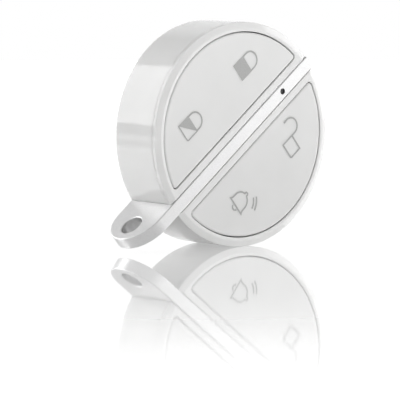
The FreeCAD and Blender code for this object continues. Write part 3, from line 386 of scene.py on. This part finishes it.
def rounded_copy(source, name, width):
    """The shape of a moulded piece with its sharp edges rounded off."""
    soft = bmesh.new()
    soft.from_mesh(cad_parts[source].data)
    bmesh.ops.remove_doubles(soft, verts=soft.verts, dist=1.0e-6)
    bmesh.ops.dissolve_limit(soft, angle_limit=math.radians(1), verts=soft.verts, edges=soft.edges)
    sharp = [e for e in soft.edges if e.is_manifold and e.calc_face_angle(0.0) > sharp_from]
    bmesh.ops.bevel(soft, geom=sharp, offset=width, segments=2, profile=0.5, affect="EDGES",
                    clamp_overlap=True)
    bmesh.ops.triangulate(soft, faces=[f for f in soft.faces if len(f.verts) > 4])
    mesh = bpy.data.meshes.new(name)
    soft.to_mesh(mesh)
    return mesh


silicone_grey = finish_of("silicone_grey", (0.46, 0.46, 0.45), (0.4, 0.4, 0.39), 600.0, 0.5)
for side in ("left", "right"):
    moulded, name = side + "_key_mat", side + "_silicone_mat"
    add_piece(name, rounded_copy(moulded, name, mat_round), silicone_grey, "body", "silicone",
              moulded, drawn=False)

# Circuit board. A disc of glass laminate under green solder mask, screwed between the two halves.
# Gold pads lie under the switches on its front, and tinned tracks join the chips on its back.
board_green = finish_of("board_green", (0.02, 0.16, 0.07), (0.012, 0.12, 0.05), 400.0, 0.3)
dress(board_green, "circuit_board")
gold_plate = finish_of("gold_plate", (0.83, 0.64, 0.3), (0.76, 0.57, 0.26), 900.0, 0.28, metal=1.0)
tinned_copper = finish_of("tinned_copper", (0.78, 0.77, 0.75), (0.7, 0.69, 0.67), 1500.0, 0.3,
                          metal=1.0)
board_front, board_back = -4.6, -5.4
switch_x, switch_y = 10.486, 9.277
pad_ring, pad_ring_width = 2.35, 0.5
pad_dot = 0.5
pads = []
for x in (switch_x, -switch_x):
    for y in (switch_y, -switch_y):
        pads += stroke(arc(x, y, pad_ring, 0, 345, 23), pad_ring_width, closed=True)
        pads += stroke(arc(x, y, pad_dot, 0, 330, 11), 2 * pad_dot, closed=True)
add_piece("switch_pads", film_mesh("switch_pads", pads, board_front), gold_plate, "body",
          "wire_metal")

track_width, track_ring = 0.25, 12.3
via_ring, via_width = 0.27, 0.22
antenna_foot, chip_cap = (13.75, 13.75), (-15.35, -8.16)
runs = [arc(0, 0, track_ring, 158, 50, 24) + [antenna_foot],
        [(-14.15, 2.4), (-12.4, 2.4)] + arc(0, 0, track_ring, 170, 246, 16) + [(-6.11, -14.4)],
        [(12.5, -1.6), (11.9, -3.0)] + arc(0, 0, track_ring, -16, -62, 10) + [(6.6, -13.2)],
        [(13.75, -13.75), (14.55, -10.5), (14.55, -5.1)],
        [(-15.15, 5.6), (-15.15, 7.2)],
        [(-13.95, 9.44), (-12.7, 9.44), (-11.41, 4.6)],
        [(14.55, 2.9), (14.55, 4.2)],
        [(-16.15, -0.35), (-16.15, 1.6)],
        [(-17.15, -5.6), (-17.15, -6.6), chip_cap],
        [(-13.75, -8.16), (-12.0, -8.16), (-11.0, -10.0)],
        [(6.91, 15.68), (8.2, 14.2)],
        [(-6.91, 15.68), (-7.9, 14.4), (-7.9, 12.2)]]
tracks = [quad for run in runs for quad in stroke(run, track_width)]
vias = []
for x, y in (run[-1] for run in runs if run[-1] not in (antenna_foot, chip_cap)):
    vias += stroke(arc(x, y, via_ring, 0, 315, 7), via_width, closed=True)
add_piece("board_vias", film_mesh("board_vias", vias, board_back - ink_film), tinned_copper, "body",
          "wire_metal")
add_piece("board_tracks", film_mesh("board_tracks", tracks, board_back), tinned_copper, "body",
          "wire_metal")

# Snap domes. Four shallow caps of stainless spring sheet, taped over the gold pads; each one clicks
# flat when its key is pressed.
dome_steel = finish_of("dome_steel", (0.75, 0.74, 0.72), (0.66, 0.65, 0.63), 900.0, 0.25, metal=1.0)
dress(dome_steel, "snap_domes")

# Indicator. A light-emitting diode on the board shines through a smoked acrylic pipe, whose tip
# sits just below the bar's small hole.
smoked_acrylic = finish_of("smoked_acrylic", (0.02, 0.02, 0.022), (0.012, 0.012, 0.014), 900.0,
                           0.12, bump=(5000.0, 1.0e-6))
dress(smoked_acrylic, "light_pipe")
diode_white = finish_of("diode_white", (0.82, 0.8, 0.72), (0.75, 0.74, 0.68), 2500.0, 0.35,
                        spread=0.2, bump=None)
dress(diode_white, "led")

# Chips. The radio and the controller are moulded in black epoxy, with tinned leads bent down onto
# the board. The crystal's nickel can stands beside them.
epoxy_black = finish_of("epoxy_black", (0.03, 0.03, 0.032), (0.02, 0.02, 0.022), 2000.0, 0.45)
dress(epoxy_black, "radio_chip", "controller_chip")
crystal_nickel = finish_of("crystal_nickel", (0.7, 0.68, 0.64), (0.62, 0.6, 0.56), 1200.0, 0.3,
                           metal=1.0)
dress(crystal_nickel, "crystal")
lead_width, lead_sheet, lead_pitch = 0.28, 0.12, 0.65
lead_bend = [(-0.05, 0.45), (0.16, 0.45), (0.22, 0.055), (0.5, 0.055)]
radio_place, radio_half = (-16.15, 3.6), 2.0
controller_x, controller_half = 14.7, 2.5


def lead_row(metal, count, foot):
    """Bent leads in a row along one side of a chip. foot places a lead: across, outward, height."""
    for k in range(count):
        middle = (k - (count - 1) / 2) * lead_pitch
        for quad in stroke(lead_bend, lead_sheet):
            near_side = [metal.verts.new(foot(middle - lead_width / 2, *p)) for p in quad]
            far_side = [metal.verts.new(foot(middle + lead_width / 2, *p)) for p in quad]
            metal.faces.new(near_side)
            metal.faces.new(far_side[::-1])
            for a, b, c, d in zip(near_side, near_side[1:] + near_side[:1],
                                  far_side[1:] + far_side[:1], far_side):
                metal.faces.new((b, a, d, c))


def close_mesh(metal, name):
    """Join touching faces into one skin, turn it outward and hand over the mesh."""
    bmesh.ops.remove_doubles(metal, verts=metal.verts, dist=0.0005)
    inner = [f for f in metal.faces if sum(len(e.link_faces) > 2 for e in f.edges) == len(f.edges)]
    bmesh.ops.delete(metal, geom=inner, context="FACES")
    bmesh.ops.recalc_face_normals(metal, faces=metal.faces)
    mesh = bpy.data.meshes.new(name)
    metal.to_mesh(mesh)
    return mesh


leads = bmesh.new()
for way in (1, -1):
    lead_row(leads, 5, lambda along, out, up: (radio_place[0] + way * (radio_half + out),
                                               radio_place[1] + along, board_back - up))
    lead_row(leads, 6, lambda along, out, up: (controller_x + along, way * (controller_half + out),
                                               board_back - up))
add_piece("chip_leads", close_mesh(leads, "chip_leads"), tinned_copper, "body", "wire_metal")

# Small components. Ten ceramic capacitors and resistors, each with a tinned cap at both ends,
# soldered flat to the tracks beside the chips.
ceramic_tan = finish_of("ceramic_tan", (0.42, 0.31, 0.2), (0.33, 0.24, 0.16), 1500.0, 0.5)
dress(ceramic_tan, "chip_passives")
half_long, half_wide, small_height = 0.8, 0.4, 0.448
cap_length, cap_skin, cap_round = 0.38, 0.02, 0.05
flat_places = [(-15.15, 7.6), (-14.75, 9.44), (-14.55, -8.16), (14.55, 4.58), (14.55, -4.58),
               (-6.111, 15.683), (6.111, 15.683)]
upright_places = [(-17.15, -4.8), (-15.55, -4.8), (-13.95, -4.8)]
caps = bmesh.new()
for places, along in ((flat_places, Vector((1, 0))), (upright_places, Vector((0, 1)))):
    size = (cap_length + cap_skin, 2 * (half_wide + cap_skin))[::1 if along.x else -1]
    for place in places:
        for end in (1, -1):
            middle = Vector(place) + along * end * (half_long - cap_length / 2 + cap_skin / 2)
            block = bmesh.ops.create_cube(caps, size=1.0)["verts"]
            bmesh.ops.scale(caps, vec=(*size, small_height + cap_skin), verts=block)
            bmesh.ops.translate(caps, vec=(*middle, board_back - (small_height + cap_skin) / 2),
                                verts=block)
bmesh.ops.bevel(caps, geom=caps.edges[:], offset=cap_round, segments=2, profile=0.5, affect="EDGES")
cap_mesh = bpy.data.meshes.new("component_caps")
caps.to_mesh(cap_mesh)
add_piece("component_caps", cap_mesh, tinned_copper, "body", "wire_metal")

# Antenna. A quarter loop of stiff tinned wire that stands off the back of the board near its rim,
# with one leg soldered at each end.
dress(tinned_copper, "antenna")

# Battery. A 20 mm coin cell in a steel can turned on its faces; a black nylon ring holds it over
# the board, a sprung leaf touches its cap and another its side.
cell_steel, tree, shader = new_finish("cell_steel")
place = node(tree, "TexCoord").outputs["Object"]
off_axis = node(tree, "VectorMath", {0: place, 1: (axis_x, 0, body_radius)}, operation="SUBTRACT")
flat = node(tree, "VectorMath", {0: off_axis.outputs[0], 1: (1, 0, 1)}, operation="MULTIPLY")
reach = node(tree, "VectorMath", {0: flat.outputs[0]}, operation="LENGTH")
rings = node(tree, "TexNoise", {"W": reach.outputs["Value"], "Scale": 9000.0, "Detail": 2.0},
             noise_dimensions="1D")
steel = mottle(tree, place, 500.0, (0.72, 0.72, 0.71), (0.64, 0.64, 0.63))
feed(tree, shader, {"Base Color": steel, "Metallic": 1.0,
                    "Roughness": uneven(tree, rings, 0.2, 0.4)})
dress(cell_steel, "coin_cell")
spring_bronze = finish_of("spring_bronze", (0.83, 0.72, 0.5), (0.75, 0.64, 0.43), 900.0, 0.25,
                          metal=1.0)
dress(spring_bronze, "negative_contact", "positive_contact")
cradle_black = finish_of("cradle_black", (0.05, 0.05, 0.052), (0.035, 0.035, 0.037), 900.0, 0.4)
dress(cradle_black, "battery_cradle")

# Centre plate. One strip of aluminium, fine-blasted and clear anodised, its bar flush with the face
# and its lug drilled for the key ring; the bore's wall is painted darker, as shade. A cross pin and
# a hooked foot hold it between the two halves.
plate_aluminium, tree, shader = new_finish("plate_aluminium")
place = node(tree, "TexCoord").outputs["Object"]
hole_middle = fob @ Vector((0, -0.0292, -half_thickness))
# Painted shade: within 2.3 mm of the hole's axis the plate is coloured a darker grey, blending into
# the blasted tone by 2.4 mm.
bore_shade_to, bore_shade_clear_from = 0.0023, 0.0024
from_hole = node(tree, "VectorMath", {0: place, 1: hole_middle}, operation="SUBTRACT")
turned = node(tree, "VectorMath", {0: from_hole.outputs[0], 1: fob.col[0].to_3d()},
              operation="CROSS_PRODUCT")
from_line = node(tree, "VectorMath", {0: turned.outputs[0]}, operation="LENGTH")
clear_of_bore_shade = node(tree, "MapRange", {"Value": from_line.outputs["Value"], "From Min": bore_shade_to,
                                  "From Max": bore_shade_clear_from}).outputs["Result"]
blasted = mottle(tree, place, 5200.0, (0.89, 0.89, 0.89), (0.79, 0.79, 0.79))
pores = node(tree, "TexNoise", {"Vector": place, "Scale": 2600.0, "Detail": 3.0})
feed(tree, shader, {"Base Color": mixed(tree, clear_of_bore_shade, (0.62, 0.62, 0.62, 1), blasted),
                    "Metallic": 1.0, "Roughness": uneven(tree, pores, 0.36, 0.46)})
grain(tree, shader, place, 7000.0, 6.0e-6)
dress(plate_aluminium, "centre_plate")

# Lug pin. A ground steel pin through the plate's tab, clamped between the cover's legs and the
# shell, so the lug can't be pulled out.
pin_ground = finish_of("pin_ground", (0.74, 0.74, 0.74), (0.66, 0.66, 0.66), 1100.0, 0.2, metal=1.0)
dress(pin_ground, "lug_pin")

# Rear shell. The cup that closes the fob, moulded in the same white as the cover, which snaps over
# its rim; the back has the battery opening and four sunk screw seats.
dress(case_white, "rear_shell")

# Case screws. Four zinc-plated screws with cross recesses, driven from the back through the board
# into the cover's bosses.
screw_zinc = finish_of("screw_zinc", (0.68, 0.68, 0.67), (0.58, 0.58, 0.57), 1100.0, 0.3, metal=1.0)
screw_x, screw_y = 10.185, 15.683
head_radius, head_low, head_seat = 1.75, -12.65, -11.4
edge_break, edge_round = 0.3, 0.09
shank_radius, core_radius, thread_pitch = 0.94, 0.74, 0.5
thread_from, thread_to, screw_tip, tip_radius = -11.0, -3.7, -3.0, 0.3
recess_reach, recess_half, recess_floor, recess_taper = 0.95, 0.17, -11.95, 0.7
first_turn, next_turn = 0.5, 0.35
turned_steps = 28


def turned_screw(metal, x, y, turn):
    """One screw: a turned outline spun about its axis, and a cross sunk into the head's face."""
    outline = [(head_radius - edge_break, head_low),
               (head_radius - edge_round, head_low + edge_round),
               (head_radius, head_low + edge_break),
               (head_radius, head_seat), (shank_radius, head_seat)]
    height = thread_from
    while height < thread_to:
        outline += [(core_radius, height), (shank_radius, height + thread_pitch / 2)]
        height += thread_pitch
    outline += [(core_radius, height), (tip_radius, screw_tip)]
    angles = [math.tau * k / turned_steps for k in range(turned_steps)]
    rings = [[metal.verts.new((x + radius * math.cos(a), y + radius * math.sin(a), level))
              for a in angles] for radius, level in outline]
    for low, high in zip(rings, rings[1:]):
        for a, b, c, d in zip(low, low[1:] + low[:1], high[1:] + high[:1], high):
            metal.faces.new((a, b, c, d))
    metal.faces.new(rings[-1])
    cross = []
    for k in range(4):
        quarter = Matrix.Rotation(turn + k * math.pi / 2, 2)
        for point in ((recess_half, recess_half), (recess_half, recess_reach),
                      (-recess_half, recess_reach)):
            cross.append(quarter @ Vector(point))
    upper = [metal.verts.new((x + p.x, y + p.y, head_low)) for p in cross]
    lower = [metal.verts.new((x + p.x * recess_taper, y + p.y * recess_taper, recess_floor))
             for p in cross]
    rim = [metal.edges.get((a, b)) for a, b in zip(rings[0], rings[0][1:] + rings[0][:1])]
    mouth = []
    for a, b, c, d in zip(upper, upper[1:] + upper[:1], lower[1:] + lower[:1], lower):
        mouth.append(metal.edges.new((a, b)))
        metal.faces.new((a, b, c, d))
    metal.faces.new(lower)
    bmesh.ops.triangle_fill(metal, edges=rim + mouth, use_beauty=True)


screws = bmesh.new()
for n, (x, y) in enumerate([(screw_x, screw_y), (-screw_x, screw_y), (-screw_x, -screw_y),
                            (screw_x, -screw_y)]):
    turned_screw(screws, x, y, first_turn + n * next_turn)
bmesh.ops.recalc_face_normals(screws, faces=screws.faces)
screw_mesh = bpy.data.meshes.new("cross_head_screws")
screws.to_mesh(screw_mesh)
add_piece("cross_head_screws", screw_mesh, screw_zinc, "body", "screw_steel", "case_screws")

# Battery door. Moulded like the shell, with a coin slot outside and a neck with three bayonet tabs
# inside; it turns 30 degrees to come free. A rubber ring in its groove seals it.
dress(case_white, "battery_door")
seal_rubber = finish_of("seal_rubber", (0.03, 0.03, 0.031), (0.018, 0.018, 0.019), 1500.0, 0.55,
                        bump=(9000.0, 4.0e-6))
squeeze, section_steps, seal_steps = 0.97, 16, 96
low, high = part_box("door_seal")
seal_half = (high.y - low.y) / 2
ring_middle, ring_section = (high.x - low.x) / 2 - seal_half, seal_half * squeeze
seal = bmesh.new()
section = [seal.verts.new((ring_middle + ring_section * math.cos(a), 0, ring_section * math.sin(a)))
           for a in (math.tau * i / section_steps for i in range(section_steps))]
loop = [seal.edges.new((a, b)) for a, b in zip(section, section[1:] + section[:1])]
bmesh.ops.spin(seal, geom=section + loop, axis=(0, 0, 1), cent=(0, 0, 0), angle=math.tau,
               steps=seal_steps, use_merge=True)
bmesh.ops.recalc_face_normals(seal, faces=seal.faces)
for face in seal.faces:
    face.smooth = True
seal_mesh = bpy.data.meshes.new("seal_ring")
seal.to_mesh(seal_mesh)
upright = Matrix.Rotation(math.radians(90), 4, "X")
seal_mesh.transform(Matrix.Translation((low + high) / 2) @ upright)
add_piece("seal_ring", seal_mesh, seal_rubber, "door", "seal_rubber", "door_seal", drawn=False)
